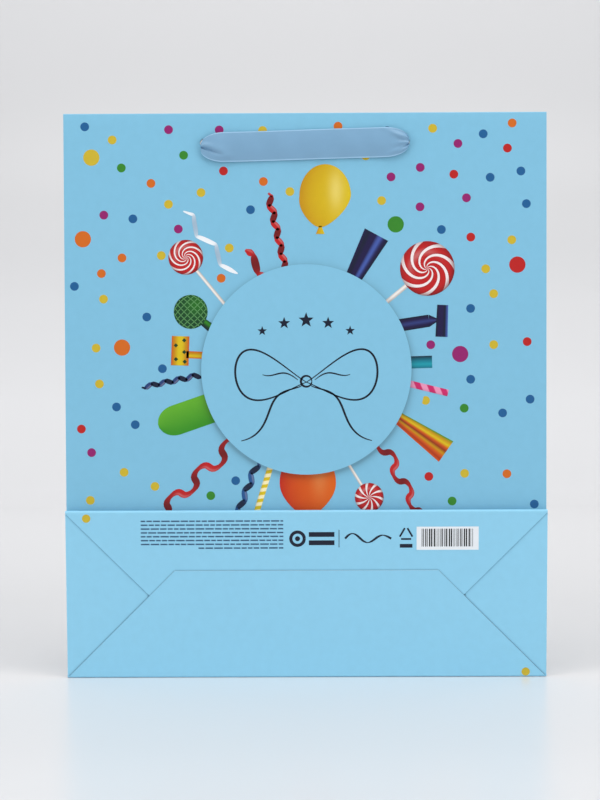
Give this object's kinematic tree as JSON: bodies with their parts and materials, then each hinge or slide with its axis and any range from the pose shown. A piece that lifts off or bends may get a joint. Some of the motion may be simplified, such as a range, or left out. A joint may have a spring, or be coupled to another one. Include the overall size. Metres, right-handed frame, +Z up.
{
  "type": "gift bag",
  "caption": "Paper gift bag with a block bottom, folded flat, side gussets, stiffened turned-in top and satin ribbon handles that pull out through punched holes.",
  "frame": {"origin": "on the floor under the middle of the folded bag as it stands on its bottom edge", "axes": "+X to the viewer's right along the bag's width, +Y to the back, away from the printed front, +Z up"},
  "size_m": [0.23, 0.0084, 0.27],
  "materials": {
    "printed_paper": "gloss coated printed paper, light blue with a party pattern",
    "inner_paper": "plain white uncoated side of the sheet",
    "grey_card": "plain grey board",
    "satin_ribbon": "grey-blue satin ribbon, soft sheen"
  },
  "bodies": {
    "back": {"back_panel": "printed_paper", "back_hem_card": "grey_card", "side_seam_flap": "inner_paper"},
    "rear_gusset_left": {"gusset_rear_left": "printed_paper"},
    "rear_gusset_right": {"gusset_rear_right": "printed_paper"},
    "front_gusset_left": {"gusset_front_left": "printed_paper"},
    "front_gusset_right": {"gusset_front_right": "printed_paper"},
    "front": {"front_panel": "printed_paper", "front_hem_card": "grey_card"},
    "foot": {"front_foot": "printed_paper"},
    "base": {"base_card": "grey_card", "base_end_flap_left": "printed_paper", "base_end_flap_right": "printed_paper", "base_front_flap": "printed_paper", "base_rear_flap": "printed_paper"},
    "foot_web_left": {"foot_web_left": "inner_paper"},
    "foot_web_right": {"foot_web_right": "inner_paper"},
    "base_web_left": {"base_web_left": "inner_paper"},
    "base_web_right": {"base_web_right": "inner_paper"},
    "front_handle": {"front_ribbon": "satin_ribbon"},
    "front_tail_left": {"front_ribbon_tail_left": "satin_ribbon", "front_knot_left": "satin_ribbon"},
    "front_tail_right": {"front_ribbon_tail_right": "satin_ribbon", "front_knot_right": "satin_ribbon"},
    "back_handle": {"back_ribbon": "satin_ribbon"},
    "back_tail_left": {"back_ribbon_tail_left": "satin_ribbon", "back_knot_left": "satin_ribbon"},
    "back_tail_right": {"back_ribbon_tail_right": "satin_ribbon", "back_knot_right": "satin_ribbon"}
  },
  "joints": [
    {"name": "bag_open", "type": "hinge", "parent": "back", "child": "rear_gusset_left", "pos_m": [-0.115, 0.00311, 0.135], "axis": [0, 0, -1], "range_deg": [0, 90]},
    {"name": "front_gusset_left_fold", "type": "hinge", "parent": "rear_gusset_left", "child": "front_gusset_left", "pos_m": [-0.075, 0.00231, 0.135], "axis": [0, 0, 1], "range_deg": [0, 180]},
    {"name": "front_panel_fold", "type": "hinge", "parent": "front_gusset_left", "child": "front", "pos_m": [-0.115, 0.00151, 0.135], "axis": [0, 0, -1], "range_deg": [0, 90]},
    {"name": "rear_gusset_right_fold", "type": "hinge", "parent": "back", "child": "rear_gusset_right", "pos_m": [0.115, 0.00311, 0.135], "axis": [0, 0, 1], "range_deg": [0, 90]},
    {"name": "front_gusset_right_fold", "type": "hinge", "parent": "rear_gusset_right", "child": "front_gusset_right", "pos_m": [0.075, 0.00231, 0.135], "axis": [0, 0, -1], "range_deg": [0, 180]},
    {"name": "front_foot_fold", "type": "hinge", "parent": "front", "child": "foot", "pos_m": [0, 0.00076, 0.04], "axis": [1, 0, 0], "range_deg": [0, 176.5]},
    {"name": "base_fold", "type": "hinge", "parent": "foot", "child": "base", "pos_m": [0, -0.00248, 0.07988], "axis": [-1, 0, 0], "range_deg": [0, 90]},
    {"name": "foot_web_left_fold", "type": "hinge", "parent": "foot", "child": "foot_web_left", "pos_m": [-0.115, -0.00088, 0.05994], "axis": [0, 0.0611, -0.9981], "range_deg": [0, 90], "deforming": ["foot_web_left"]},
    {"name": "base_web_left_fold", "type": "hinge", "parent": "base", "child": "base_web_left", "pos_m": [-0.115, -0.00046, 0.03993], "axis": [0, -0.0611, 0.9981], "range_deg": [0, 90], "deforming": ["base_web_left"]},
    {"name": "foot_web_right_fold", "type": "hinge", "parent": "foot", "child": "foot_web_right", "pos_m": [0.115, -0.00088, 0.05994], "axis": [0, -0.0611, 0.9981], "range_deg": [0, 90], "deforming": ["foot_web_right"]},
    {"name": "base_web_right_fold", "type": "hinge", "parent": "base", "child": "base_web_right", "pos_m": [0.115, -0.00046, 0.03993], "axis": [0, 0.0611, -0.9981], "range_deg": [0, 90], "deforming": ["base_web_right"]},
    {"name": "front_handle_pull", "type": "slide", "parent": "front", "child": "front_handle", "axis": [0, 0, 1], "range_m": [0, 0.118], "deforming": ["front_ribbon"]},
    {"name": "front_tail_left_slide", "type": "slide", "parent": "front", "child": "front_tail_left", "axis": [0, 0, 1], "range_m": [0, 0.1065], "deforming": ["front_ribbon_tail_left", "front_knot_left"]},
    {"name": "front_tail_right_slide", "type": "slide", "parent": "front", "child": "front_tail_right", "axis": [0, 0, 1], "range_m": [0, 0.1065], "deforming": ["front_ribbon_tail_right", "front_knot_right"]},
    {"name": "back_handle_pull", "type": "slide", "parent": "back", "child": "back_handle", "axis": [0, 0, 1], "range_m": [0, 0.118], "deforming": ["back_ribbon"]},
    {"name": "back_tail_left_slide", "type": "slide", "parent": "back", "child": "back_tail_left", "axis": [-0.1392, 0, 0.9903], "range_m": [0, 0.1065], "deforming": ["back_ribbon_tail_left", "back_knot_left"]},
    {"name": "back_tail_right_slide", "type": "slide", "parent": "back", "child": "back_tail_right", "axis": [0.1392, 0, 0.9903], "range_m": [0, 0.1065], "deforming": ["back_ribbon_tail_right", "back_knot_right"]}
  ],
  "couplings": [
    {"joint": "front_gusset_left_fold", "follows": "bag_open", "ratio": 2},
    {"joint": "front_panel_fold", "follows": "bag_open", "ratio": 1},
    {"joint": "rear_gusset_right_fold", "follows": "bag_open", "ratio": 1},
    {"joint": "front_gusset_right_fold", "follows": "bag_open", "ratio": 2},
    {"joint": "front_foot_fold", "follows": "bag_open", "ratio": 1.9611},
    {"joint": "base_fold", "follows": "bag_open", "ratio": 1},
    {"joint": "foot_web_left_fold", "follows": "bag_open", "ratio": 1},
    {"joint": "base_web_left_fold", "follows": "bag_open", "ratio": 1},
    {"joint": "foot_web_right_fold", "follows": "bag_open", "ratio": 1},
    {"joint": "base_web_right_fold", "follows": "bag_open", "ratio": 1},
    {"joint": "front_tail_left_slide", "follows": "front_handle_pull", "ratio": 0.89831},
    {"joint": "front_tail_right_slide", "follows": "front_handle_pull", "ratio": 0.89831},
    {"joint": "back_tail_left_slide", "follows": "back_handle_pull", "ratio": 0.89831},
    {"joint": "back_tail_right_slide", "follows": "back_handle_pull", "ratio": 0.89831}
  ]
}
